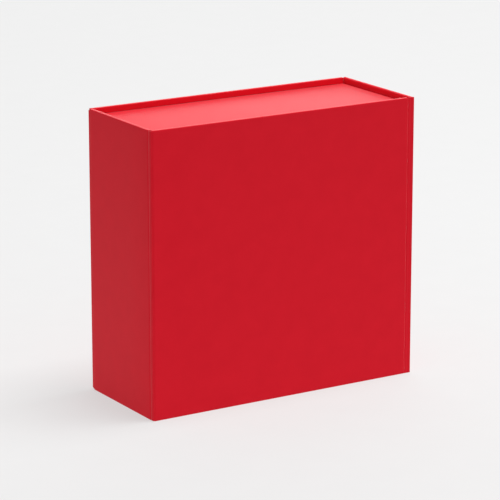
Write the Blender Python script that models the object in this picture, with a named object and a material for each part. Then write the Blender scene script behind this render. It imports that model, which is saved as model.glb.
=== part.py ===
"""Presentation box, built the way a box maker builds one: a case of four greyboard panels under one
red covering, and a covered tray glued to the case's base and spine. The box stands on its lower edge,
as a book does on a shelf: spine at -X, lid at -Y, base at +Y, closing flap at +X, +Z up.
The origin is the middle of its footprint. Run it with blender --background --python part.py."""

import math

import bmesh
import bpy
from mathutils import Matrix, Vector

# Driving sizes, in metres.
WIDTH = 0.253  # spine to closing flap, outside
HEIGHT = 0.240  # lower edge to upper edge
DEPTH = 0.1035  # lid to base, outside
BOARD = 0.0020  # greyboard of the case and the tray
COVER = 0.0003  # covering paper
GLUE = 0.0003  # glue line, and the gap between pieces that lie on each other
SQUARE = 0.0050  # how far the case's boards stand past the tray, above and below

# The case's joints, where only the covering runs from one board to the next.
SPINE_JOINT = 0.0044  # from the lid's or the base's outer face to the end of the spine board
HEAD_SET = 0.0015  # from the spine's outer face to the edge of the lid board and of the base board
FLAP_JOINT = 0.0065  # from the flap's outer face to the edge of the lid board
HINGE_END = 0.0005  # from a joint's axis to where the turning covering starts
TURN_IN = 0.0050  # the covering's border that shows on a panel's inner face, beside the lining

# The tray.
FLAP_CLEARANCE = 0.0008  # between the closed flap and the tray or the base's edge
LID_CLEARANCE = 0.0005  # between the closed lid and the tray's rim
TRAY_TURN_IN = 0.0150  # the covering under the tray's floor
STAY = 0.0002  # paper tape round the tray's corners
STAY_GAP = 0.0002
STAY_LEG = 0.0200
STAY_END_GAP = 0.0003

# The closure.
DISC = 0.0014  # thickness of the magnets and of their keepers
MAGNET_RADIUS = 0.0050
KEEPER_RADIUS = 0.0060
DISC_GAP = 0.0003
DISC_SIDES = 48
DISC_DEPTH_PLACE = 0.0150  # towards the base from the box's middle
DISC_SPREAD = 0.0600  # above and below the middle
CUTTER_OVERRUN = 0.0010

# What follows from them.
SKIN = COVER + GLUE
PANEL = BOARD + 2 * SKIN  # a covered and lined board
LEFT, RIGHT = -WIDTH / 2, WIDTH / 2
FRONT, BACK = -DEPTH / 2, DEPTH / 2
MIDDLE = HEIGHT / 2
BOARD_ENDS = (SKIN, HEIGHT - SKIN)  # every case board's lower and upper edge
LID_AXIS = Vector((LEFT + COVER, FRONT + COVER, MIDDLE))
FLAP_AXIS = Vector((RIGHT - COVER, FRONT + COVER, MIDDLE))

TRAY_SIDES_X = (LEFT + PANEL + GLUE, RIGHT - PANEL - FLAP_CLEARANCE)
TRAY_SIDES_Z = (SQUARE, HEIGHT - SQUARE)
TRAY_RIM = FRONT + PANEL + LID_CLEARANCE
TRAY_UNDERSIDE = BACK - PANEL - GLUE
OUTER_SKIN = COVER + STAY_GAP + STAY + STAY_GAP  # covering and corner tape, outside the tray's walls
WALL = OUTER_SKIN + BOARD + SKIN  # a covered tray wall
WALL_ENDS_Y = (TRAY_RIM + SKIN, TRAY_UNDERSIDE - SKIN)
FLOOR_Y = (WALL_ENDS_Y[1] - BOARD, WALL_ENDS_Y[1])

RED = (0.52, 0.012, 0.022)
GREY = (0.32, 0.30, 0.27)
MANILA = (0.62, 0.49, 0.31)
NICKEL = (0.66, 0.65, 0.62)
STEEL = (0.50, 0.51, 0.52)

AXES = "XYZ"


def clear_scene():
    for obj in list(bpy.data.objects):
        bpy.data.objects.remove(obj)


def material(name, colour, roughness, metallic=0.0):
    made = bpy.data.materials.get(name) or bpy.data.materials.new(name)
    made.use_nodes = True
    shader = made.node_tree.nodes["Principled BSDF"]
    shader.inputs["Base Color"].default_value = (*colour, 1.0)
    shader.inputs["Roughness"].default_value = roughness
    shader.inputs["Metallic"].default_value = metallic
    return made


def paper():
    return material("red_covering_paper", RED, 0.6)


def greyboard():
    return material("greyboard", GREY, 0.9)


def place(name, mesh, finish, location=(0, 0, 0)):
    """Links a mesh as an object at location, with its finish."""
    obj = bpy.data.objects.new(name, mesh)
    bpy.context.scene.collection.objects.link(obj)
    obj.location = location
    if finish is not None:
        mesh.materials.append(finish)
    return obj


def box(name, low, high, finish):
    """A block between two corners, with its origin at its centre."""
    low, high = Vector(low), Vector(high)
    bm = bmesh.new()
    bmesh.ops.create_cube(bm, size=1.0)
    bmesh.ops.scale(bm, vec=high - low, verts=bm.verts)
    mesh = bpy.data.meshes.new(name)
    bm.to_mesh(mesh)
    bm.free()
    return place(name, mesh, finish, (low + high) / 2)


def disc(name, radius, thickness, centre, finish):
    """A flat round disc whose axis lies along X."""
    bm = bmesh.new()
    bmesh.ops.create_cone(
        bm,
        cap_ends=True,
        segments=DISC_SIDES,
        radius1=radius,
        radius2=radius,
        depth=thickness,
        matrix=Matrix.Rotation(math.pi / 2, 4, "Y"),
    )
    mesh = bpy.data.meshes.new(name)
    bm.to_mesh(mesh)
    bm.free()
    mesh.shade_smooth()
    mesh.set_sharp_from_angle(angle=math.radians(40))
    return place(name, mesh, finish, centre)


def prism(name, outline, y_ends, finish):
    """An outline of (x, z) points, run along Y."""
    bm = bmesh.new()
    base = bm.faces.new([bm.verts.new((x, y_ends[0], z)) for x, z in outline])
    grown = bmesh.ops.extrude_face_region(bm, geom=[base])
    moved = [v for v in grown["geom"] if isinstance(v, bmesh.types.BMVert)]
    bmesh.ops.translate(bm, verts=moved, vec=(0, y_ends[1] - y_ends[0], 0))
    bmesh.ops.recalc_face_normals(bm, faces=bm.faces)
    mesh = bpy.data.meshes.new(name)
    bm.to_mesh(mesh)
    bm.free()
    return place(name, mesh, finish)


def cut(obj, cutter):
    """Takes a helper's shape out of obj."""
    cutter.hide_render = True
    cutter.display_type = "WIRE"
    boolean = obj.modifiers.new("cut_" + cutter.name, "BOOLEAN")
    boolean.operation = "DIFFERENCE"
    boolean.solver = "EXACT"
    boolean.object = cutter


def grown(low, high, amounts):
    """The box's corners, moved out by amounts such as {"-X": 0.01}."""
    corners = (list(low), list(high))
    for side, amount in amounts.items():
        upper = side[0] == "+"
        axis = AXES.index(side[1])
        corners[upper][axis] += amount if upper else -amount
    return corners


def covering(name, board, outward, turned, reach):
    """The covering of one board. It lies on the outward face, wraps the turned edges and shows as a
    border of TURN_IN on the inner face. On its other edges it runs on by reach, to the next panel."""
    inward = ("-" if outward[0] == "+" else "+") + outward[1]
    low, high = board
    solid = {outward: SKIN, inward: SKIN, **{side: SKIN for side in turned}, **reach}
    hollow = {outward: GLUE, inward: GLUE, **{side: GLUE for side in turned}}
    hollow.update({side: amount + CUTTER_OVERRUN for side, amount in reach.items()})
    window = {outward: GLUE - COVER, inward: SKIN + CUTTER_OVERRUN}
    window.update({side: SKIN - TURN_IN for side in turned})
    window.update({side: amount + CUTTER_OVERRUN for side, amount in reach.items()})
    made = box(name, *grown(low, high, solid), paper())
    cut(made, box(name + "_pocket", *grown(low, high, hollow), None))
    cut(made, box(name + "_window", *grown(low, high, window), None))
    return made


def lining(name, board, outward, trimmed, reach):
    """The paper on a board's inner face, between the covering's borders."""
    low, high = board
    amounts = {side: -(TURN_IN - SKIN + GLUE) for side in trimmed}
    low, high = grown(low, high, {**amounts, **reach})
    axis = AXES.index(outward[1])
    if outward[0] == "-":
        low[axis], high[axis] = board[1][axis] + GLUE, board[1][axis] + SKIN
    else:
        low[axis], high[axis] = board[0][axis] - SKIN, board[0][axis] - GLUE
    return box(name, low, high, paper())


def joint_strip(name, low, high):
    """The covering where no board backs it."""
    return box(name, low, high, paper())


def build_lid():
    board = (
        (LEFT + HEAD_SET, FRONT + SKIN, BOARD_ENDS[0]),
        (RIGHT - FLAP_JOINT, FRONT + SKIN + BOARD, BOARD_ENDS[1]),
    )
    box("lid_board", *board, greyboard())
    hinge_reach = HEAD_SET - COVER - HINGE_END
    reach = {"-X": hinge_reach, "+X": GLUE}
    covering("lid_covering", board, "-Y", ("-Z", "+Z"), reach)
    lining("lid_lining", board, "-Y", ("-Z", "+Z"), {"-X": -GLUE, "+X": 0.0})
    joint_strip(
        "flap_joint_covering",
        (RIGHT - FLAP_JOINT + 2 * GLUE, FRONT, 0.0),
        (RIGHT - COVER - HINGE_END, FRONT + COVER, HEIGHT),
    )


def build_flap():
    board = (
        (RIGHT - SKIN - BOARD, FRONT + SKIN, BOARD_ENDS[0]),
        (RIGHT - SKIN, BACK - SKIN, BOARD_ENDS[1]),
    )
    flap = box("flap_board", *board, greyboard())
    hinge_reach = GLUE - HINGE_END
    covering("flap_covering", board, "+X", ("-Z", "+Z", "+Y"), {"-Y": hinge_reach})
    lining("flap_lining", board, "+X", ("-Z", "+Z", "+Y"), {"-Y": -GLUE})
    magnet = material("nickel_plated_magnet", NICKEL, 0.25, 1.0)
    centre_x = RIGHT - SKIN - BOARD / 2
    for level, side in (("lower", -1), ("upper", 1)):
        centre = (centre_x, DISC_DEPTH_PLACE, MIDDLE + side * DISC_SPREAD)
        pocket_radius = MAGNET_RADIUS + DISC_GAP
        pocket_depth = BOARD + 2 * CUTTER_OVERRUN
        name = "flap_magnet_" + level
        cut(flap, disc(name + "_pocket", pocket_radius, pocket_depth, centre, None))
        disc(name, MAGNET_RADIUS, DISC, centre, magnet)


def build_spine():
    ends_y = (FRONT + SPINE_JOINT, BACK - SPINE_JOINT)
    board = (
        (LEFT + SKIN, ends_y[0], BOARD_ENDS[0]),
        (LEFT + SKIN + BOARD, ends_y[1], BOARD_ENDS[1]),
    )
    box("spine_board", *board, greyboard())
    reach = {"-Y": GLUE, "+Y": GLUE}
    covering("spine_covering", board, "-X", ("-Z", "+Z"), reach)
    lining("spine_lining", board, "-X", ("-Z", "+Z"), {"-Y": 0.0, "+Y": 0.0})
    past_panel = 2 * GLUE
    joint_strip(
        "lid_joint_covering",
        (LEFT, LID_AXIS.y + HINGE_END, 0.0),
        (LEFT + COVER, ends_y[0] - past_panel, HEIGHT),
    )
    joint_strip(
        "base_joint_covering",
        (LEFT, ends_y[1] + past_panel, 0.0),
        (LEFT + COVER, BACK, HEIGHT),
    )


def build_base():
    board = (
        (LEFT + HEAD_SET, BACK - SKIN - BOARD, BOARD_ENDS[0]),
        (TRAY_SIDES_X[1] - SKIN, BACK - SKIN, BOARD_ENDS[1]),
    )
    box("base_board", *board, greyboard())
    joint_reach = HEAD_SET - COVER - GLUE
    covering("base_covering", board, "+Y", ("-Z", "+Z", "+X"), {"-X": joint_reach})


def tray_inset(amount):
    """((x, x), (z, z)) of the tray's outline, taken in by amount."""
    return (
        (TRAY_SIDES_X[0] + amount, TRAY_SIDES_X[1] - amount),
        (TRAY_SIDES_Z[0] + amount, TRAY_SIDES_Z[1] - amount),
    )


def build_tray_boards():
    (x0, x1), (z0, z1) = tray_inset(OUTER_SKIN)
    y0, y1 = WALL_ENDS_Y
    grey = greyboard()
    box("tray_wall_lower", (x0, y0, z0), (x1, y1, z0 + BOARD), grey)
    box("tray_wall_upper", (x0, y0, z1 - BOARD), (x1, y1, z1), grey)
    low_z, high_z = z0 + BOARD + GLUE, z1 - BOARD - GLUE
    box("tray_wall_spine", (x0, y0, low_z), (x0 + BOARD, y1, high_z), grey)
    fore = box("tray_wall_fore", (x1 - BOARD, y0, low_z), (x1, y1, high_z), grey)
    box(
        "tray_floor_board",
        (x0 + BOARD + GLUE, FLOOR_Y[0], low_z),
        (x1 - BOARD - GLUE, FLOOR_Y[1], high_z),
        grey,
    )
    steel = material("steel_keeper", STEEL, 0.35, 1.0)
    for level, side in (("lower", -1), ("upper", 1)):
        centre = (x1 - BOARD / 2, DISC_DEPTH_PLACE, MIDDLE + side * DISC_SPREAD)
        pocket_radius = KEEPER_RADIUS + DISC_GAP
        pocket_depth = BOARD + 2 * CUTTER_OVERRUN
        name = "wall_keeper_" + level
        cut(fore, disc(name + "_pocket", pocket_radius, pocket_depth, centre, None))
        disc(name, KEEPER_RADIUS, DISC, centre, steel)


def build_corner_stays():
    """Paper tape folded round each corner of the tray's walls, under the covering."""
    inner = COVER + STAY_GAP + STAY
    (x0, x1), (z0, z1) = tray_inset(COVER + STAY_GAP)
    (xi0, xi1), (zi0, zi1) = tray_inset(inner)
    y_ends = (WALL_ENDS_Y[0] + STAY_END_GAP, WALL_ENDS_Y[1] - STAY_END_GAP)
    tape = material("manila_corner_tape", MANILA, 0.85)
    corners = {
        "lower_spine": (x0, xi0, z0, zi0, 1, 1),
        "lower_fore": (x1, xi1, z0, zi0, -1, 1),
        "upper_spine": (x0, xi0, z1, zi1, 1, -1),
        "upper_fore": (x1, xi1, z1, zi1, -1, -1),
    }
    for place_name, (x, xi, z, zi, to_x, to_z) in corners.items():
        far_x, far_z = x + to_x * STAY_LEG, z + to_z * STAY_LEG
        outline = [(x, z), (far_x, z), (far_x, zi), (xi, zi), (xi, far_z), (x, far_z)]
        prism("corner_stay_" + place_name, outline, y_ends, tape)


def build_tray_covering():
    """One strip of covering: under the floor's edge, up the walls, over the rim and down inside."""
    floor_stop = FLOOR_Y[0] - GLUE
    profile = [
        (0.0, TRAY_UNDERSIDE),
        (0.0, TRAY_RIM),
        (WALL, TRAY_RIM),
        (WALL, floor_stop),
        (WALL - COVER, floor_stop),
        (WALL - COVER, TRAY_RIM + COVER),
        (COVER, TRAY_RIM + COVER),
        (COVER, TRAY_UNDERSIDE - COVER),
        (TRAY_TURN_IN, TRAY_UNDERSIDE - COVER),
        (TRAY_TURN_IN, TRAY_UNDERSIDE),
    ]
    bm = bmesh.new()
    rings = []
    for inset, y in profile:
        (x0, x1), (z0, z1) = tray_inset(inset)
        corners = ((x0, z0), (x1, z0), (x1, z1), (x0, z1))
        rings.append([bm.verts.new((x, y, z)) for x, z in corners])
    for i, ring in enumerate(rings):
        after = rings[(i + 1) % len(rings)]
        for a in range(4):
            b = (a + 1) % 4
            bm.faces.new((ring[a], ring[b], after[b], after[a]))
    bmesh.ops.recalc_face_normals(bm, faces=bm.faces)
    mesh = bpy.data.meshes.new("tray_covering")
    bm.to_mesh(mesh)
    bm.free()
    place("tray_covering", mesh, paper())


def build_floor_lining():
    (x0, x1), (z0, z1) = tray_inset(WALL + GLUE)
    box(
        "tray_floor_lining",
        (x0, FLOOR_Y[0] - SKIN, z0),
        (x1, FLOOR_Y[0] - GLUE, z1),
        paper(),
    )


def hang_on_axes():
    """Puts the lid and the flap under empties on their joints' axes."""
    lid = ("lid_board", "lid_covering", "lid_lining", "flap_joint_covering")
    flap = ("flap_board", "flap_covering", "flap_lining")
    flap += ("flap_magnet_lower", "flap_magnet_upper")
    axes = {}
    for name, point, members in (
        ("lid_hinge", LID_AXIS, lid),
        ("flap_hinge", FLAP_AXIS, flap),
    ):
        empty = bpy.data.objects.new(name, None)
        bpy.context.scene.collection.objects.link(empty)
        empty.location = point
        axes[name] = empty
        bpy.context.view_layer.update()
        for member in members:
            piece = bpy.data.objects[member]
            helpers = [m.object for m in piece.modifiers if m.type == "BOOLEAN"]
            for obj in (piece, *helpers):
                obj.parent = empty
                obj.matrix_parent_inverse = empty.matrix_world.inverted()
    axes["flap_hinge"].parent = axes["lid_hinge"]
    axes["flap_hinge"].matrix_parent_inverse = axes["lid_hinge"].matrix_world.inverted()


def main():
    clear_scene()
    build_base()
    build_spine()
    build_lid()
    build_flap()
    build_tray_boards()
    build_corner_stays()
    build_tray_covering()
    build_floor_lining()
    hang_on_axes()


main()
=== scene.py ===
"""Looks for a red presentation box that stands on its lower edge: spine at -X, lid at -Y, base panel at
+Y and closing flap at +X. The coverings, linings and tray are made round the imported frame's boards."""

import math

import bmesh
import bpy
import numpy as np
from mathutils import Matrix, Vector


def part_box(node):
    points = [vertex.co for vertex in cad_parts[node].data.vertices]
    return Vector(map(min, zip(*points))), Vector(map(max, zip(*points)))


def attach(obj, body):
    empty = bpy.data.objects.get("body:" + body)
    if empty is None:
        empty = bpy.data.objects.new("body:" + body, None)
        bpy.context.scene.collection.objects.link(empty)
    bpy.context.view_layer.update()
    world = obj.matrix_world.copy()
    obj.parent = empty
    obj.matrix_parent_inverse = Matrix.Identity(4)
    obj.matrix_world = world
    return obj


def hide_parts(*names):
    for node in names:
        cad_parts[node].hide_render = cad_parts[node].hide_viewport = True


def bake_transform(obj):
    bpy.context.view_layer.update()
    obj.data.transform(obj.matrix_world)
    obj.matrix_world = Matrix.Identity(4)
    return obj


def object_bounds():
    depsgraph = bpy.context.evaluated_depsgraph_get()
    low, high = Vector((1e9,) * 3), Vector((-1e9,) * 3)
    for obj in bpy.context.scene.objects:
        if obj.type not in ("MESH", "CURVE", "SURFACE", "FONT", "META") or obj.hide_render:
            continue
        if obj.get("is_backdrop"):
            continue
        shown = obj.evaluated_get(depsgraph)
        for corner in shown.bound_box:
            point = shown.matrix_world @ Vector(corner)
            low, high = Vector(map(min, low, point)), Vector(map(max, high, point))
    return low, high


bl_info = {
    "name": "Presentation Box",
    "version": (1, 0, 0),
    "blender": (4, 5, 0),
    "location": "View3D > Sidebar > Box",
    "description": "Builds the paper coverings, linings, tray and stage of a covered presentation box",
    "category": "Add Mesh",
}

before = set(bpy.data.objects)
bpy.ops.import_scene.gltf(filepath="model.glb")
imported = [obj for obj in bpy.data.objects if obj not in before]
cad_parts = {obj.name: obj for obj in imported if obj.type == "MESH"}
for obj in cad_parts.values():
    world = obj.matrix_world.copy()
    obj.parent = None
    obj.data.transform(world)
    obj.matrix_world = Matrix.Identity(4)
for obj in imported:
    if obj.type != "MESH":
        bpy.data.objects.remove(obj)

MM = 0.001
GLUE = 0.3 * MM  # the gap that stands for glue between a board and its covering
SUPPORT = 1.8 * MM  # from a folded edge to the row or column that keeps the flat beside it flat
TRAY, LID, FLAP = "tray_and_spine", "lid", "flap"

# The case's outer planes and the thickness of a covered board, from the frame.
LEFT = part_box("spine_covering")[0].x
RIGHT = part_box("flap_covering")[1].x
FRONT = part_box("lid_covering")[0].y
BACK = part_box("base_covering")[1].y
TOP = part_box("lid_covering")[1].z
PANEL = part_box("lid_covering")[1].y - FRONT
BASE_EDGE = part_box("base_covering")[1].x
LID_ENDS = (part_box("lid_board")[0].x - GLUE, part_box("lid_covering")[1].x)
SPINE_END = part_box("spine_board")[0].y - GLUE - FRONT


# Colour and shape helpers.


def srgb(code):
    """A hex colour such as "#c4202b" as scene-linear red, green and blue."""
    channels = (int(code[i : i + 2], 16) / 255 for i in (1, 3, 5))
    return tuple(c / 12.92 if c <= 0.04045 else ((c + 0.055) / 1.055) ** 2.4 for c in channels)


def smooth(t):
    t = min(1.0, max(0.0, t))
    return t * t * (3 - 2 * t)


def between(knots, at):
    """The value at a distance, easing between (distance, value) knots in rising order."""
    for (a, low), (b, high) in zip(knots, knots[1:]):
        if at <= b:
            return low + (high - low) * smooth((at - a) / (b - a))
    return knots[-1][1]


def new_object(name, mesh):
    obj = bpy.data.objects.new(name, mesh)
    bpy.context.scene.collection.objects.link(obj)
    return obj


def mesh_from(name, bm):
    mesh = bpy.data.meshes.new(name)
    bm.to_mesh(mesh)
    bm.free()
    return mesh


def settle(obj):
    """Turns an object and its modifiers into a plain mesh."""
    graph = bpy.context.evaluated_depsgraph_get()
    mesh = bpy.data.meshes.new_from_object(obj.evaluated_get(graph))
    obj.modifiers.clear()
    old = obj.data
    obj.data = mesh
    bpy.data.meshes.remove(old)
    return obj


def shade(obj, angle=35):
    obj.data.shade_smooth()
    obj.data.set_sharp_from_angle(angle=math.radians(angle))


def mark_folds(obj):
    """Stores where the sheet turns, as 0 on a flat face and 1 on a fold, for the wear on its edges."""
    mesh = obj.data
    flat = np.array([max(abs(c) for c in v.normal) for v in mesh.vertices])
    fold = np.clip((0.985 - flat) / 0.16, 0, 1)
    layer = mesh.attributes.new("fold", "FLOAT", "POINT")
    layer.data.foreach_set("value", fold.astype(np.float32))


def finish_piece(obj, material, slot):
    obj.data.materials.clear()
    obj.data.materials.append(material)


# Materials.


def add(tree, kind, inputs=None, **settings):
    """Adds a node, sets its properties, and sets each input or links it to another node's output."""
    made = tree.nodes.new(kind)
    for name, value in settings.items():
        setattr(made, name, value)
    for key, value in (inputs or {}).items():
        if isinstance(value, bpy.types.NodeSocket):
            tree.links.new(value, made.inputs[key])
        else:
            made.inputs[key].default_value = value
    return made


def new_material(name):
    """An empty material and its tree, with the Principled shader, or the one already made."""
    found = bpy.data.materials.get(name)
    if found:
        return found, None, None
    material = bpy.data.materials.new(name)
    material.use_nodes = True
    return material, material.node_tree, material.node_tree.nodes["Principled BSDF"]


def ramp(tree, factor, low, high):
    """A colour ramp with two stops, each (position, colour)."""
    made = add(tree, "ShaderNodeValToRGB", {"Fac": factor})
    for stop, (position, colour) in zip(made.color_ramp.elements, (low, high)):
        stop.position = position
        stop.color = (*colour, 1.0)
    return made.outputs["Color"]


def noise(tree, place, size, detail, roughness=0.5):
    """Noise whose features are about size metres across."""
    inputs = {"Vector": place, "Scale": 1 / size, "Detail": detail, "Roughness": roughness}
    return add(tree, "ShaderNodeTexNoise", inputs).outputs["Fac"]


def ranged(tree, value, low, high, to_low, to_high):
    """A value between low and high, mapped on to_low and to_high."""
    inputs = {"Value": value, "From Min": low, "From Max": high, "To Min": to_low, "To Max": to_high}
    return add(tree, "ShaderNodeMapRange", inputs).outputs["Result"]


def bump(tree, height, strength, distance, over=None):
    """The normal of a bumped surface, over another such normal if one is given."""
    inputs = {"Height": height, "Strength": strength, "Distance": distance}
    if over is not None:
        inputs["Normal"] = over
    return add(tree, "ShaderNodeBump", inputs).outputs["Normal"]


def mixed(tree, factor, low, high):
    """A colour between two, each a socket or red, green, blue and alpha."""
    inputs = {"Factor": factor, "A": low, "B": high}
    return add(tree, "ShaderNodeMix", inputs, data_type="RGBA").outputs["Result"]


def matt_red_art_paper(colours):
    """Dyed art paper with a matt varnish. The eye sees an even, deep red with a soft sheen at low
    angles, a very fine tooth of fibres, faint clouding, and paler rubbed folds."""
    material, tree, shader = new_material("matt_red_art_paper")
    if tree is None:
        return material
    place = add(tree, "ShaderNodeTexCoord").outputs["Object"]
    # clouding of the sheet, as pulp settles on the wire
    cloud = noise(tree, place, 16 * MM, 3.0, 0.55)
    # fibres are 0.05 mm wide; they are drawn 0.5 mm wide so that they show at all
    fibre = noise(tree, place, 0.5 * MM, 4.0, 0.65)
    # the board's own slight unevenness under the sheet
    swell = noise(tree, place, 45 * MM, 1.0, 0.4)
    clouded = ramp(tree, cloud, (0.3, tuple(colours.paper_deep)), (0.7, tuple(colours.paper)))
    fibrous = ranged(tree, fibre, 0.35, 0.75, 0.0, 0.2)
    toothed = mixed(tree, fibrous, clouded, (*colours.paper_fibre, 1.0))
    fold = add(tree, "ShaderNodeAttribute", attribute_name="fold").outputs["Fac"]
    scuffs = ranged(tree, noise(tree, place, 6 * MM, 6.0, 0.7), 0.45, 0.75, 0.0, 0.22)
    rubbed = add(tree, "ShaderNodeMath", {0: fold, 1: scuffs}, operation="MULTIPLY").outputs[0]
    worn = mixed(tree, rubbed, toothed, (*colours.paper_worn, 1.0))
    tree.links.new(worn, shader.inputs["Base Color"])
    tree.links.new(ranged(tree, fibre, 0.3, 0.7, 0.46, 0.56), shader.inputs["Roughness"])
    tooth = bump(tree, fibre, 0.35, 0.03 * MM)
    tree.links.new(bump(tree, swell, 0.2, 0.4 * MM, tooth), shader.inputs["Normal"])
    # little gloss, and a sheen at low angles; both suit this stage's lights and aren't measured
    shader.inputs["Specular IOR Level"].default_value = 0.06
    shader.inputs["Sheen Weight"].default_value = 0.85
    shader.inputs["Sheen Roughness"].default_value = 0.25
    shader.inputs["Sheen Tint"].default_value = (1.0, 0.8, 0.82, 1.0)
    return material


def pulp_board(colours):
    """Greyboard, pressed from waste paper: dull warm grey with darker flecks and pale fibres."""
    material, tree, shader = new_material("pressed_greyboard")
    if tree is None:
        return material
    place = add(tree, "ShaderNodeTexCoord").outputs["Object"]
    fleck = noise(tree, place, 1.1 * MM, 6.0, 0.75)
    dark, light = tuple(colours.greyboard_dark), tuple(colours.greyboard)
    tree.links.new(ramp(tree, fleck, (0.36, dark), (0.62, light)), shader.inputs["Base Color"])
    tree.links.new(bump(tree, fleck, 0.5, 0.06 * MM), shader.inputs["Normal"])
    shader.inputs["Roughness"].default_value = 0.92
    return material


def kraft_tape(colours):
    """Gummed kraft tape: tan, with fine streaks along the sheet and a slight glaze."""
    material, tree, shader = new_material("gummed_kraft_tape")
    if tree is None:
        return material
    place = add(tree, "ShaderNodeTexCoord").outputs["Object"]
    stretched = add(tree, "ShaderNodeMapping", {"Vector": place, "Scale": (1.0, 0.08, 1.0)})
    streak = noise(tree, stretched.outputs["Vector"], 0.7 * MM, 4.0)
    dark, light = tuple(colours.tape_dark), tuple(colours.tape)
    tree.links.new(ramp(tree, streak, (0.35, dark), (0.68, light)), shader.inputs["Base Color"])
    tree.links.new(bump(tree, streak, 0.3, 0.03 * MM), shader.inputs["Normal"])
    shader.inputs["Roughness"].default_value = 0.6
    return material


def plated_metal(name, colour, roughness, grain_mm):
    """Metal with a fine surface texture: nickel plate on a magnet, or rolled steel on a keeper."""
    material, tree, shader = new_material(name)
    if tree is None:
        return material
    place = add(tree, "ShaderNodeTexCoord").outputs["Object"]
    grain = noise(tree, place, grain_mm * MM, 4.0, 0.6)
    rough = ranged(tree, grain, 0.0, 1.0, roughness * 0.8, roughness * 1.25)
    tree.links.new(rough, shader.inputs["Roughness"])
    tree.links.new(bump(tree, grain, 0.15, 0.01 * MM), shader.inputs["Normal"])
    shader.inputs["Base Color"].default_value = (*colour, 1.0)
    shader.inputs["Metallic"].default_value = 1.0
    return material


# Sheets folded over boards.


class Corner:
    """A corner of the case seen from above. Side a leads up to it and side b away from it."""

    def __init__(self, at, side_a, side_b):
        self.at, self.a, self.b = Vector(at), Vector(side_a), Vector(side_b)

    def on_a(self, distance, inset):
        return self.at + self.a * distance + self.b * inset

    def on_b(self, distance, inset):
        return self.at + self.b * distance + self.a * inset

    def turn(self, radius, inset, depth, steps):
        """Columns round the corner, each an outer point and the point depth inside it."""
        centre = self.at + (self.a + self.b) * (radius + inset)
        made = []
        for i in range(steps + 1):
            angle = math.pi / 2 * i / steps
            out = -self.b * math.cos(angle) - self.a * math.sin(angle)
            made.append((centre + out * radius, centre + out * (radius - depth)))
        return made


def steps(start, stop, spacing):
    count = max(1, round(abs(stop - start) / spacing))
    return [start + (stop - start) * i / count for i in range(count + 1)]


def folded_sheet(name, columns, sizes, fold, start_edge=0.0, end_edge=0.0):
    """A sheet over a row of boards. Each column is (outer point, inner point, radius, drop), seen
    from above: the sheet lies on the outer points, turns over the upper and lower edges with a fold
    of the radius, and shows as a border on the inner side. start_edge and end_edge are the widths
    of the border at a free end, where the fold's radius is fold, or 0 where the sheet runs on. drop
    lowers the fold where no board fills the sheet."""
    border = sizes.turn_in
    rows = [0.0, SUPPORT, border, *steps(border, TOP - border, 38 * MM)[1:-1]]
    rows += [TOP - border, TOP - SUPPORT, TOP]
    last = len(rows) - 1
    bm = bmesh.new()
    weights = bm.edges.layers.float.new("bevel_weight_edge")

    def height(column, row):
        drop = columns[column][3]
        if row == 0:
            return drop
        return TOP - drop if row == last else rows[row]

    def grid(side):
        return [
            [bm.verts.new((*columns[i][side], height(i, j))) for j in range(last + 1)]
            for i in range(len(columns))
        ]

    outer, inner = grid(0), grid(1)
    lengths = [0.0]
    for a, b in zip(columns, columns[1:]):
        lengths.append(lengths[-1] + (b[0] - a[0]).length)

    def shows_inside(i, j):
        if rows[j + 1] <= border + 1e-9 or rows[j] >= TOP - border - 1e-9:
            return True
        at_start = lengths[i + 1] <= start_edge + 1e-7
        return at_start or lengths[i] >= lengths[-1] - end_edge - 1e-7

    for i in range(len(columns) - 1):
        for j in range(last):
            bm.faces.new((outer[i][j], outer[i + 1][j], outer[i + 1][j + 1], outer[i][j + 1]))
            if shows_inside(i, j):
                bm.faces.new((inner[i][j], inner[i][j + 1], inner[i + 1][j + 1], inner[i + 1][j]))
        bm.faces.new((outer[i][last], outer[i + 1][last], inner[i + 1][last], inner[i][last]))
        bm.faces.new((outer[i][0], inner[i][0], inner[i + 1][0], outer[i + 1][0]))
        share = min(columns[i][2], columns[i + 1][2]) / fold
        for row in (0, last):
            for side in (outer, inner):
                bm.edges.get((side[i][row], side[i + 1][row]))[weights] = share
    for edge, i in ((start_edge, 0), (end_edge, len(columns) - 1)):
        if not edge:
            continue
        for j in range(last):
            face = [outer[i][j], inner[i][j], inner[i][j + 1], outer[i][j + 1]]
            bm.faces.new(face if i else face[::-1])
            for side in (outer, inner):
                bm.edges.get((side[i][j], side[i][j + 1]))[weights] = 1.0
        for row in (0, last):
            bm.edges.get((outer[i][row], inner[i][row]))[weights] = 1.0
    bmesh.ops.delete(bm, geom=[v for v in bm.verts if not v.link_faces], context="VERTS")
    obj = new_object(name, mesh_from(name, bm))
    bend = obj.modifiers.new("Fold", "BEVEL")
    bend.limit_method = "WEIGHT"
    bend.width = fold
    bend.segments = 5
    bend.use_clamp_overlap = False
    thickness = obj.modifiers.new("Paper", "SOLIDIFY")
    thickness.thickness = sizes.paper
    thickness.offset = -1.0
    settle(obj)
    shade(obj)
    mark_folds(obj)
    return obj


def board_columns(distances, place, radius):
    """Columns along a flat covered board. place(distance, depth) is a point."""
    return [(place(d, 0.0), place(d, PANEL), radius, 0.0) for d in distances]


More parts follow.
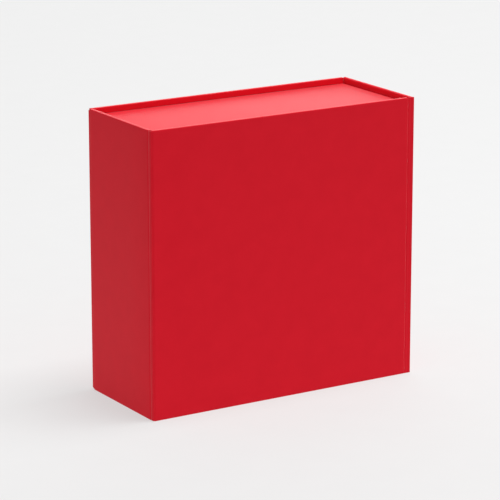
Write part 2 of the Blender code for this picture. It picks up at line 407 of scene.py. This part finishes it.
def joint_side(place, knots, board, sizes, drop, towards):
    """Columns across one side of a joint, from the board to the corner or back again. knots give the
    sheet's inset by distance from the corner; board is where the covered board ends."""
    web, soft = sizes.web, sizes.web_fold
    made = []
    low, high = knots[0][0], knots[-1][0]
    for distance in steps(low, high, 0.22 * MM):
        inset = between(knots, distance)
        outer = place(distance, inset)
        if distance > board + 0.05 * MM:
            made.append((distance, (outer, place(distance, PANEL), sizes.fold_radius, 0.0)))
        elif distance < board - 0.1 * MM:
            made.append((distance, (outer, place(distance, inset + web), soft, drop)))
    inset = between(knots, board)
    made.append((board, (place(board, inset), place(board, PANEL), soft, 0.0)))
    nearer = board - 0.06 * MM
    made.append((nearer, (place(nearer, inset), place(nearer, inset + web), soft, drop)))
    made.sort(key=lambda item: -item[0] if towards else item[0])
    return [column for _, column in made]


def turn_columns(corner, radius, inset, sizes, drop, count=8):
    turned = corner.turn(radius, inset, sizes.web, count)
    return [(outer, inner, sizes.web_fold, drop) for outer, inner in turned[1:-1]]


# The add-on's properties.


def length(name, description, default_mm):
    return bpy.props.FloatProperty(
        name=name, description=description, default=default_mm * MM, unit="LENGTH", precision=5
    )


def colour(name, description, code):
    return bpy.props.FloatVectorProperty(
        name=name, description=description, default=srgb(code), subtype="COLOR", min=0.0, max=1.0
    )


class BoxSizes(bpy.types.PropertyGroup):
    paper: length("Paper", "Thickness of the covering and lining paper", 0.14)
    fold_radius: length("Fold radius", "Radius of the paper's fold over a board's edge", 0.5)
    lid_end_fold: length("Lid end fold", "Radius of the folds at the lid's two joints", 0.8)
    flap_fold: length("Flap fold", "Radius of the softer folds along the flap's edges", 1.5)
    web_fold: length("Web fold", "Radius of the fold where no board fills the covering", 0.15)
    turn_in: length("Turn-in", "Border of covering that shows on a board's inner face", 5.0)
    web: length("Web", "Thickness of the folded paper between two boards", 0.3)
    tuck: length("Tuck", "How far a joint's paper passes in under the lid's edge", 0.25)
    lid_drop: length("Lid joint drop", "How far the paper sinks at the lid's joint", 0.4)
    base_drop: length("Base joint drop", "How far the paper sinks between base and spine", 1.4)
    lining_rise: length("Lining rise", "How far the lining stands up over the turn-in", 0.12)
    lining_step: length("Lining step", "Distance from the edge to the hidden end of the turn-in", 15.0)
    tray_corner: length("Tray corner", "Outer radius of the tray's covered corners", 1.1)


class BoxColours(bpy.types.PropertyGroup):
    paper: colour("Paper", "Red of the covering paper", "#e4192b")
    paper_deep: colour("Deep paper", "Red of the paper's darker clouds", "#e01729")
    paper_fibre: colour("Fibre", "Red of the lighter fibres", "#ea2435")
    paper_worn: colour("Worn paper", "Colour of the rubbed folds", "#e8434c")
    greyboard: colour("Greyboard", "Light tone of the greyboard", "#a39c90")
    greyboard_dark: colour("Dark greyboard", "Dark flecks of the greyboard", "#7d776d")
    tape: colour("Tape", "Light tone of the corner tape", "#cdb084")
    tape_dark: colour("Dark tape", "Dark streaks of the corner tape", "#b3925f")
    nickel: colour("Nickel", "Plating of the magnets", "#d4d1ca")
    steel: colour("Steel", "Steel of the keepers", "#bcbec0")
    floor: colour("Floor", "Surface of the stage's floor, without its own light", "#8e8e8e")
    world: colour("Surround", "Light from all round the stage", "#ffffff")


# Operators: one for each piece or group of like pieces.


class BoxOperator:
    bl_options = {"REGISTER", "UNDO"}

    def execute(self, context):
        self.make(context.scene.box_sizes, context.scene.box_colours)
        return {"FINISHED"}


class BOX_OT_base_and_spine(BoxOperator, bpy.types.Operator):
    """Covers the base panel and the spine, with the joints between them and towards the lid"""

    bl_idname = "box.base_and_spine"
    bl_label = "Base and Spine Covering"

    def make(self, sizes, colours):
        rear = Corner((LEFT, BACK), (1, 0), (0, -1))
        fore = Corner((LEFT, FRONT), (0, 1), (1, 0))
        fold, low = sizes.fold_radius, 6 * MM
        span, depth = BASE_EDGE - LEFT, BACK - FRONT
        run = [span, span - SUPPORT, *steps(span - sizes.turn_in, low, 40 * MM)]
        columns = board_columns(run, rear.on_a, fold)
        dip = ((1.15, 0.2), (2.4, 0.12), (3.8, 0.0), (low / MM, 0.0))
        knots = [(d * MM, i * MM) for d, i in dip]
        columns += joint_side(rear.on_a, knots, 1.3 * MM, sizes, sizes.base_drop, True)[1:]
        columns += turn_columns(rear, 0.95 * MM, 0.2 * MM, sizes, sizes.base_drop)
        dip = ((1.15, 0.2), (2.6, 0.14), (low / MM, 0.0))
        knots = [(d * MM, i * MM) for d, i in dip]
        columns += joint_side(rear.on_b, knots, SPINE_END, sizes, sizes.base_drop, False)
        columns += board_columns(steps(low, depth - low, 30 * MM)[1:], rear.on_b, fold)
        dip = ((1.15, 0.2), (2.4, 0.05), (3.3, 0.1), (SPINE_END / MM + 0.2, 0.36), (low / MM, 0.0))
        knots = [(d * MM, i * MM) for d, i in dip]
        columns += joint_side(fore.on_a, knots, SPINE_END, sizes, sizes.lid_drop, True)[1:]
        columns += turn_columns(fore, 0.75 * MM, 0.12 * MM, sizes, sizes.lid_drop)
        # past the corner the sheet sinks into the crease beside the lid's board, and in under its edge
        begin, end = 0.87 * MM, LID_ENDS[0] - LEFT + sizes.tuck
        for part in (0.0, 0.35, 0.7, 1.0):
            distance = begin + (end - begin) * part
            # shallow and thin, so that both layers lie where the blend below follows the lid
            inset = 0.12 * MM + 0.22 * MM * smooth(part)
            inner = fore.on_b(distance, inset + 0.2 * MM)
            columns.append((fore.on_b(distance, inset), inner, sizes.web_fold, sizes.lid_drop))
        sheet = folded_sheet("base_and_spine_wrap", columns, sizes, fold, start_edge=sizes.turn_in)
        finish_piece(sheet, matt_red_art_paper(colours), "red_covering_paper")
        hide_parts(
            "base_covering", "base_joint_covering", "spine_covering", "lid_joint_covering"
        )
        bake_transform(sheet)


class BOX_OT_lid(BoxOperator, bpy.types.Operator):
    """Covers the lid board on all its edges"""

    bl_idname = "box.lid"
    bl_label = "Lid Covering"

    def make(self, sizes, colours):
        start, stop = LID_ENDS
        span, border = stop - start, 3 * MM

        def place(distance, depth):
            return Vector((start + distance, FRONT + depth))

        run = [0.0, SUPPORT, *steps(border, span - border, 40 * MM), span - SUPPORT, span]
        columns = board_columns(run, place, sizes.fold_radius)
        sheet = folded_sheet(
            "lid_wrap", columns, sizes, sizes.lid_end_fold, start_edge=border, end_edge=border
        )
        finish_piece(sheet, matt_red_art_paper(colours), "red_covering_paper")
        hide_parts("lid_covering")
        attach(sheet, LID)


class BOX_OT_flap(BoxOperator, bpy.types.Operator):
    """Covers the flap, with the joint towards the lid"""

    bl_idname = "box.flap"
    bl_label = "Flap Covering"

    def make(self, sizes, colours):
        corner = Corner((RIGHT, FRONT), (-1, 0), (0, 1))
        web, soft, drop = sizes.web, sizes.web_fold, 0.1 * MM
        start = RIGHT - LID_ENDS[1] + sizes.tuck
        radius, inset = 0.6 * MM, 0.05 * MM
        dip = ((0.65, 0.05), (2.4, 0.06), (3.5, 0.24), (4.8, 0.1), (start / MM, 0.4))
        knots = [(d * MM, i * MM) for d, i in dip]
        columns = []
        for distance in reversed(steps(knots[0][0], knots[-1][0], 0.25 * MM)):
            sunk = between(knots, distance)
            inner = corner.on_a(distance, sunk + web)
            columns.append((corner.on_a(distance, sunk), inner, soft, drop))
        columns += turn_columns(corner, radius, inset, sizes, drop, 6)
        side = corner.on_b(0.65 * MM, inset)
        columns.append((side, corner.on_b(0.65 * MM, inset + web), soft, drop))
        columns.append((corner.on_b(0.9 * MM, 0.04 * MM), corner.on_b(0.9 * MM, PANEL), soft, 0.0))
        depth = BACK - FRONT
        run = [1.3 * MM, *steps(2.2 * MM, depth - sizes.turn_in, 30 * MM), depth - SUPPORT, depth]
        columns += board_columns(run, corner.on_b, sizes.flap_fold)
        sheet = folded_sheet("flap_wrap", columns, sizes, sizes.flap_fold, end_edge=sizes.turn_in)
        finish_piece(sheet, matt_red_art_paper(colours), "red_covering_paper")
        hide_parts("flap_covering", "flap_joint_covering")
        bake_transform(sheet)


def open_tree(name, sockets):
    """A Geometry Nodes tree with the named inputs, a material and a geometry output, the outputs of
    its input node, and a function that adds a maths node. The last two are None if it was made
    before. sockets is rows of (name, kind of socket)."""
    tree = bpy.data.node_groups.get(name) or bpy.data.node_groups.new(name, "GeometryNodeTree")
    if tree.nodes:
        return tree, None, None
    for label, kind in (*sockets, ("Material", "Material")):
        tree.interface.new_socket(name=label, in_out="INPUT", socket_type="NodeSocket" + kind)
    tree.interface.new_socket(name="Geometry", in_out="OUTPUT", socket_type="NodeSocketGeometry")

    def maths(operation, a, b=0.0):
        return add(tree, "ShaderNodeMath", {0: a, 1: b}, operation=operation).outputs[0]

    return tree, add(tree, "NodeGroupInput").outputs, maths


def close_tree(tree, geometry, material):
    """Ends a tree: the geometry made real, with its material."""
    plain = add(tree, "GeometryNodeRealizeInstances", {"Geometry": geometry}).outputs[0]
    done = add(tree, "GeometryNodeSetMaterial", {"Geometry": plain, "Material": material})
    add(tree, "NodeGroupOutput", {"Geometry": done.outputs[0]})


def lining_tree():
    """Geometry Nodes for a lining: a thin sheet that stands up over the turn-ins beneath it, and a
    little over two round discs."""
    names = ("Width", "Height", "Thickness", "Border X", "Border Y", "Rise", "Spacing")
    names += ("Disc Place", "Disc Spread", "Disc Radius", "Disc Rise")
    tree, given, maths = open_tree("Lining", [(name, "Float") for name in names])
    if given is None:
        return tree

    def eased(value, start, stop):
        """0 at start and 1 at stop, eased."""
        inputs = {"Value": value, "From Min": start, "From Max": stop}
        made = add(tree, "ShaderNodeMapRange", inputs, interpolation_type="SMOOTHSTEP")
        return made.outputs["Result"]

    sides = {0: given["Width"], 1: given["Height"], 2: given["Thickness"]}
    size = add(tree, "ShaderNodeCombineXYZ", sides)
    count_x = maths("ADD", maths("DIVIDE", given["Width"], given["Spacing"]), 2.0)
    count_y = maths("ADD", maths("DIVIDE", given["Height"], given["Spacing"]), 2.0)
    sheet = add(
        tree,
        "GeometryNodeMeshCube",
        {"Size": size.outputs[0], "Vertices X": count_x, "Vertices Y": count_y, "Vertices Z": 2},
    )
    position = add(tree, "GeometryNodeInputPosition").outputs[0]
    at = add(tree, "ShaderNodeSeparateXYZ", {0: position}).outputs
    half_x, half_y = maths("MULTIPLY", given["Width"], 0.5), maths("MULTIPLY", given["Height"], 0.5)
    inset_x = maths("SUBTRACT", half_x, at["X"])
    inset_y = maths("SUBTRACT", half_y, maths("ABSOLUTE", at["Y"]))
    over_x = eased(maths("SUBTRACT", given["Border X"], inset_x), -0.8 * MM, 0.8 * MM)
    over_y = eased(maths("SUBTRACT", given["Border Y"], inset_y), -0.8 * MM, 0.8 * MM)
    border = maths("MULTIPLY", maths("MAXIMUM", over_x, over_y), given["Rise"])
    to_disc_x = maths("SUBTRACT", at["X"], given["Disc Place"])
    to_disc_y = maths("SUBTRACT", maths("ABSOLUTE", at["Y"]), given["Disc Spread"])
    squares = maths("ADD", maths("POWER", to_disc_x, 2.0), maths("POWER", to_disc_y, 2.0))
    inside = maths("SUBTRACT", given["Disc Radius"], maths("SQRT", squares))
    disc = maths("MULTIPLY", eased(inside, -0.9 * MM, 0.6 * MM), given["Disc Rise"])
    lift = add(tree, "ShaderNodeCombineXYZ", {2: maths("ADD", border, disc)})
    inputs = {"Geometry": sheet.outputs["Mesh"], "Offset": lift.outputs[0]}
    lifted = add(tree, "GeometryNodeSetPosition", inputs)
    close_tree(tree, lifted.outputs[0], given["Material"])
    return tree


def run_tree(name, tree, values):
    """The plain mesh object that a tree makes from its named inputs."""
    obj = new_object(name, bpy.data.meshes.new(name))
    modifier = obj.modifiers.new(tree.name, "NODES")
    modifier.node_group = tree
    for item in tree.interface.items_tree:
        if item.item_type == "SOCKET" and item.in_out == "INPUT":
            if item.name not in values:
                raise ValueError(f"{name}: no value for {item.name}")
            modifier[item.identifier] = values[item.name]
    return settle(obj)


def lining(name, centre, along, up, width, height, sizes, material, border_x=0.0, border_y=0.0, disc=None):
    """A lining sheet. along is its width's direction, up its height's, and it rises along their
    cross product. disc is (place along the width, spread, radius) of two discs below it."""
    along, up = Vector(along), Vector(up)
    place, spread, radius = disc or (0.0, 0.0, 0.0)
    values = {
        "Width": width,
        "Height": height,
        "Thickness": sizes.paper,
        "Border X": border_x,
        "Border Y": border_y,
        "Rise": sizes.lining_rise,
        "Spacing": 1.6 * MM,
        "Disc Place": place,
        "Disc Spread": spread,
        "Disc Radius": radius,
        "Disc Rise": 0.09 * MM if disc else 0.0,
        "Material": material,
    }
    obj = run_tree(name, lining_tree(), values)
    rotation = Matrix((along, up, along.cross(up))).transposed().to_4x4()
    obj.data.transform(Matrix.Translation(centre) @ rotation)
    shade(obj)
    return obj


class BOX_OT_linings(BoxOperator, bpy.types.Operator):
    """Lines the inner faces of the lid, the flap and the spine"""

    bl_idname = "box.linings"
    bl_label = "Linings"

    def make(self, sizes, colours):
        paper = matt_red_art_paper(colours)
        middle = TOP / 2
        overlap = 1.2 * MM
        shows = sizes.turn_in - overlap
        height = TOP - 2 * shows
        step = sizes.lining_step - shows
        level = PANEL + sizes.paper / 2

        start, stop = LID_ENDS
        width = stop - start - 3 * MM
        centre = ((start + stop) / 2, FRONT + level, middle)
        lid = lining(
            "lid_lining_sheet", centre, (-1, 0, 0), (0, 0, 1), width, height, sizes, paper, border_y=step
        )
        finish_piece(lid, paper, "red_covering_paper")
        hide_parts("lid_lining")
        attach(lid, LID)

        low, high = FRONT + 1.5 * MM, BACK - shows
        disc_low, disc_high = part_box("flap_magnet_lower")
        disc_y = (disc_low.y + disc_high.y) / 2
        spread = middle - (disc_low.z + disc_high.z) / 2
        disc = (disc_y - (low + high) / 2, spread, (disc_high.z - disc_low.z) / 2)
        centre = (RIGHT - level, (low + high) / 2, middle)
        flap = lining(
            "flap_lining_sheet",
            centre,
            (0, 1, 0),
            (0, 0, -1),
            high - low,
            height,
            sizes,
            paper,
            border_x=step,
            border_y=step,
            disc=disc,
        )
        finish_piece(flap, paper, "red_covering_paper")
        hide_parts("flap_lining")
        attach(flap, FLAP)

        depth = BACK - FRONT - 2 * SPINE_END
        centre = (LEFT + PANEL + sizes.paper / 2, (FRONT + BACK) / 2, middle)
        spine = lining("spine_lining_sheet", centre, (0, 1, 0), (0, 0, 1), depth, height, sizes, paper)
        finish_piece(spine, paper, "red_covering_paper")
        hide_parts("spine_lining")
        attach(spine, TRAY)


class BOX_OT_board_ends(BoxOperator, bpy.types.Operator):
    """Covers the ends of the spine's and the flap's boards inside the joints"""

    bl_idname = "box.board_ends"
    bl_label = "Board End Linings"

    def make(self, sizes, colours):
        paper = matt_red_art_paper(colours)
        edge = 0.4 * MM
        ends = (
            ("spine_end_lining", (LEFT + 0.6 * MM, LEFT + PANEL), FRONT + SPINE_END, TRAY),
            ("flap_end_lining", (RIGHT - PANEL, RIGHT - 0.75 * MM), FRONT + 0.37 * MM, FLAP),
        )
        for name, (low, high), face, body in ends:
            bm = bmesh.new()
            outline = ((low, edge), (high, edge), (high, TOP - edge), (low, TOP - edge))
            bm.faces.new([bm.verts.new((x, face, z)) for x, z in outline])
            obj = new_object(name, mesh_from(name, bm))
            thickness = obj.modifiers.new("Paper", "SOLIDIFY")
            thickness.thickness = sizes.paper
            thickness.offset = -1.0
            settle(obj)
            finish_piece(obj, paper, "red_covering_paper")
            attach(obj, body)


class BOX_OT_tray(BoxOperator, bpy.types.Operator):
    """Covers the tray's walls, inside and out, and lines its floor"""

    bl_idname = "box.tray"
    bl_label = "Tray Covering"

    def ring(self, bm, low, high, inset, radius, y):
        """A rounded rectangle of points in the plane at y."""
        x0, x1, z0, z1 = low.x + inset, high.x - inset, low.z + inset, high.z - inset
        corners = ((x1, z1, 0), (x0, z1, 90), (x0, z0, 180), (x1, z0, 270))
        made = []
        for x, z, turn in corners:
            dx = -radius if x == x1 else radius
            dz = -radius if z == z1 else radius
            for i in range(7):
                angle = math.radians(turn + 90 * i / 6)
                point = (x + dx + radius * math.cos(angle), y, z + dz + radius * math.sin(angle))
                made.append(bm.verts.new(point))
        return made

    def make(self, sizes, colours):
        low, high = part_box("tray_covering")
        floor_low, floor_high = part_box("tray_floor_lining")
        wall = floor_low.x - GLUE - low.x
        fold, support = 0.45 * MM, 1.4 * MM
        rim, under, floor = low.y, high.y, floor_high.y
        arc = [math.radians(90 * i / 4) for i in range(5)]
        profile = [(15 * MM, under), (2 * MM, under)]
        profile += [(fold - fold * math.sin(a), under - fold + fold * math.cos(a)) for a in arc]
        profile += [(0.0, under - support), (0.0, rim + support)]
        profile += [(fold - fold * math.cos(a), rim + fold - fold * math.sin(a)) for a in arc]
        profile += [(wall / 2, rim)]
        profile += [(wall - fold + fold * math.sin(a), rim + fold - fold * math.cos(a)) for a in arc]
        profile += [(wall, rim + support), (wall, floor - support), (wall, floor)]
        bm = bmesh.new()
        rings = []
        for inset, y in profile:
            radius = max(0.3 * MM, sizes.tray_corner - inset)
            rings.append(self.ring(bm, low, high, inset, radius, y))
        count = len(rings[0])
        for a, b in zip(rings, rings[1:]):
            for i in range(count):
                j = (i + 1) % count
                bm.faces.new((a[i], a[j], b[j], b[i]))
        obj = new_object("tray_wrap", mesh_from("tray_wrap", bm))
        thickness = obj.modifiers.new("Paper", "SOLIDIFY")
        thickness.thickness = sizes.paper
        thickness.offset = -1.0
        settle(obj)
        shade(obj)
        mark_folds(obj)
        paper = matt_red_art_paper(colours)
        finish_piece(obj, paper, "red_covering_paper")
        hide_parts("tray_covering")
        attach(obj, TRAY)

        size = floor_high - floor_low
        centre = ((floor_low.x + floor_high.x) / 2, floor_high.y - sizes.paper / 2, TOP / 2)
        sheet = lining("tray_floor_sheet", centre, (1, 0, 0), (0, 0, 1), size.x, size.z, sizes, paper)
        finish_piece(sheet, paper, "red_covering_paper")
        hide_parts("tray_floor_lining")
        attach(sheet, TRAY)


def disc_tree():
    """Geometry Nodes for round discs with eased edges, set out at equal steps along Z."""
    sockets = [(name, "Float") for name in ("Radius", "Thickness", "Ease", "Spread")]
    tree, given, maths = open_tree("Discs", [*sockets, ("Count", "Int")])
    if given is None:
        return tree
    narrow = maths("SUBTRACT", given["Radius"], given["Ease"])
    inputs = {"Vertices": 56, "Side Segments": 3, "Fill Segments": 2}
    inputs |= {"Radius": given["Radius"], "Depth": given["Thickness"]}
    body = add(tree, "GeometryNodeMeshCylinder", inputs)
    position = add(tree, "GeometryNodeInputPosition").outputs[0]
    at = add(tree, "ShaderNodeSeparateXYZ", {0: position}).outputs
    end = add(
        tree,
        "FunctionNodeCompare",
        {0: maths("ABSOLUTE", at["Z"]), 1: maths("MULTIPLY", given["Thickness"], 0.45)},
        operation="GREATER_THAN",
    )
    share = maths("DIVIDE", narrow, given["Radius"])
    inputs = {0: maths("MULTIPLY", at["X"], share), 1: maths("MULTIPLY", at["Y"], share), 2: at["Z"]}
    scaled = add(tree, "ShaderNodeCombineXYZ", inputs)
    eased = add(
        tree,
        "GeometryNodeSetPosition",
        {"Geometry": body.outputs["Mesh"], "Selection": end.outputs[0], "Position": scaled.outputs[0]},
    )
    step = add(tree, "ShaderNodeCombineXYZ", {2: given["Spread"]}).outputs[0]
    line = add(tree, "GeometryNodeMeshLine", {"Count": given["Count"], "Offset": step})
    turned = add(
        tree,
        "GeometryNodeInstanceOnPoints",
        {"Points": line.outputs[0], "Instance": eased.outputs[0], "Rotation": (0.0, math.pi / 2, 0.0)},
    )
    close_tree(tree, turned.outputs[0], given["Material"])
    return tree


class BOX_OT_closure(BoxOperator, bpy.types.Operator):
    """Makes the flap's magnets and the steel keepers that they hold to"""

    bl_idname = "box.closure"
    bl_label = "Magnets and Keepers"

    def make(self, sizes, colours):
        magnet = plated_metal("nickel_plated_magnet", tuple(colours.nickel), 0.24, 0.4)
        keeper = plated_metal("rolled_steel_keeper", tuple(colours.steel), 0.38, 0.25)
        kinds = (
            ("flap_magnets", "flap_magnet", magnet, "nickel_plated_magnet", FLAP),
            ("wall_keepers", "wall_keeper", keeper, "steel_keeper", TRAY),
        )
        for name, node, material, slot, body in kinds:
            low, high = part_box(node + "_lower")
            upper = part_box(node + "_upper")
            values = {
                "Radius": (high.z - low.z) / 2,
                "Thickness": high.x - low.x,
                "Ease": 0.15 * MM,
                "Spread": upper[0].z - low.z,
                "Count": 2,
                "Material": material,
            }
            obj = run_tree(name, disc_tree(), values)
            obj.data.transform(Matrix.Translation((low + high) / 2))
            shade(obj)
            finish_piece(obj, material, slot)
            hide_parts(node + "_lower", node + "_upper")
            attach(obj, body)


class BOX_OT_boards(BoxOperator, bpy.types.Operator):
    """Gives the boards and the corner tape their materials"""

    bl_idname = "box.boards"
    bl_label = "Boards and Tape"

    def make(self, sizes, colours):
        for name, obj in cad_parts.items():
            if "board" in name or name.startswith("tray_wall"):
                obj.data.materials.clear()
                obj.data.materials.append(pulp_board(colours))
            elif name.startswith("corner_stay"):
                obj.data.materials.clear()
                obj.data.materials.append(kraft_tape(colours))


def aim(obj, target):
    direction = Vector(target) - obj.location
    obj.rotation_euler = direction.to_track_quat("-Z", "Y").to_euler()


class BOX_OT_stage(BoxOperator, bpy.types.Operator):
    """Sets up the pale floor, the soft light and the camera"""

    bl_idname = "box.stage"
    bl_label = "Stage"

    def softbox(self, name, place, target, size, radiance):
        """An area light, unseen itself, of so much light from each part of its face."""
        light = bpy.data.lights.new(name, "AREA")
        light.shape = "RECTANGLE"
        light.size, light.size_y = size
        light.energy = radiance * math.pi * size[0] * size[1]
        obj = new_object(name, light)
        obj.location = place
        aim(obj, target)
        obj.visible_camera = False

    def make(self, sizes, colours):
        scene = bpy.context.scene
        self.floor(colours)
        world = bpy.data.worlds.new("soft_surround")
        world.use_nodes = True
        background = world.node_tree.nodes["Background"]
        background.inputs["Color"].default_value = (*colours.world, 1.0)
        background.inputs["Strength"].default_value = 0.48
        scene.world = world
        self.softbox("overhead_softbox", (0.9, -0.4, 3.2), (0.9, -0.4, 0.0), (1.8, 1.3), 12.2)
        self.softbox("rear_softbox", (2.2, 3.57, 1.35), (0.0, 0.0, 0.2), (5.0, 2.2), 1.8)
        self.camera(scene)
        scene.view_settings.view_transform = "Standard"

    def fading(self, tree, place, direction, start, stop):
        """1 up to the start distance along a direction, falling to 0 at the stop."""
        along = add(tree, "ShaderNodeVectorMath", {0: place, 1: direction}, operation="DOT_PRODUCT")
        inputs = {"Value": along.outputs["Value"], "From Min": start, "From Max": stop}
        inputs |= {"To Min": 1.0, "To Max": 0.0}
        faded = add(tree, "ShaderNodeMapRange", inputs, interpolation_type="SMOOTHSTEP")
        return faded.outputs["Result"]

    def floor(self, colours):
        """A pale floor that glows as painted light, which lights the box from below, and whose glow dims
        in front of the box and to its left as painted shade.
        """
        material, tree, shader = new_material("floor_with_painted_glow")
        place = add(tree, "ShaderNodeTexCoord").outputs["Object"]
        tooth = noise(tree, place, 1 / 30, 2.0)
        dim = tuple(0.98 * c for c in colours.floor)
        tone = ramp(tree, tooth, (0.3, dim), (0.7, tuple(colours.floor)))
        tree.links.new(tone, shader.inputs["Base Color"])
        # painted shade: the floor's painted glow fades in front of the box and to its left
        ahead = self.fading(tree, place, (-0.527, -0.85, 0.0), 0.35, 1.0)
        left = self.fading(tree, place, (-0.85, 0.527, 0.0), 0.42, 1.1)
        lit = add(tree, "ShaderNodeMath", {0: ahead, 1: left}, operation="MINIMUM")
        painted_glow_strength = ranged(tree, lit.outputs[0], 0.0, 1.0, 0.22, 0.545)
        tree.links.new(painted_glow_strength, shader.inputs["Emission Strength"])
        shader.inputs["Emission Color"].default_value = (1.0, 1.0, 1.0, 1.0)
        shader.inputs["Roughness"].default_value = 0.9
        shader.inputs["Specular IOR Level"].default_value = 0.1
        bm = bmesh.new()
        bmesh.ops.create_grid(bm, x_segments=1, y_segments=1, size=30)
        obj = new_object("floor", mesh_from("floor", bm))
        obj.data.materials.append(material)
        obj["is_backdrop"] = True

    def camera(self, scene):
        """The camera stands left of the lid and above it, and looks down a little."""
        corner = Vector((LEFT, FRONT, 0.0))
        offset = Vector((-4.2703, -7.5025, 2.8924)) * TOP
        heading, tilt = 0.5551, 0.2599
        data = bpy.data.cameras.new("camera")
        data.sensor_width = 36.0
        data.lens = 194.24
        data.clip_end = 200.0
        obj = new_object("camera", data)
        obj.location = corner + offset
        forward = Vector(
            (math.sin(heading) * math.cos(tilt), math.cos(heading) * math.cos(tilt), -math.sin(tilt))
        )
        obj.rotation_euler = forward.to_track_quat("-Z", "Y").to_euler()
        scene.camera = obj


class BOX_PT_panel(bpy.types.Panel):
    """Lists the box's pieces and its settings"""

    bl_label = "Presentation Box"
    bl_idname = "BOX_PT_panel"
    bl_space_type = "VIEW_3D"
    bl_region_type = "UI"
    bl_category = "Box"

    def draw(self, context):
        for operator in OPERATORS:
            self.layout.operator(operator.bl_idname)
        for group in (context.scene.box_sizes, context.scene.box_colours):
            column = self.layout.column()
            for name in group.bl_rna.properties.keys():
                if name not in ("rna_type", "name"):
                    column.prop(group, name)


OPERATORS = (
    BOX_OT_boards,
    BOX_OT_base_and_spine,
    BOX_OT_lid,
    BOX_OT_flap,
    BOX_OT_linings,
    BOX_OT_board_ends,
    BOX_OT_tray,
    BOX_OT_closure,
    BOX_OT_stage,
)
CLASSES = (BoxSizes, BoxColours, *OPERATORS, BOX_PT_panel)


def register():
    for cls in CLASSES:
        bpy.utils.register_class(cls)
    bpy.types.Scene.box_sizes = bpy.props.PointerProperty(type=BoxSizes)
    bpy.types.Scene.box_colours = bpy.props.PointerProperty(type=BoxColours)


def unregister():
    del bpy.types.Scene.box_colours
    del bpy.types.Scene.box_sizes
    for cls in reversed(CLASSES):
        bpy.utils.unregister_class(cls)


def corners():
    return [list(corner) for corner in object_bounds()]


def main():
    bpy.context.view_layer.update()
    register()
    for operator in OPERATORS:
        group, name = operator.bl_idname.split(".")
        getattr(getattr(bpy.ops, group), name)()


if __name__ == "__main__":
    main()
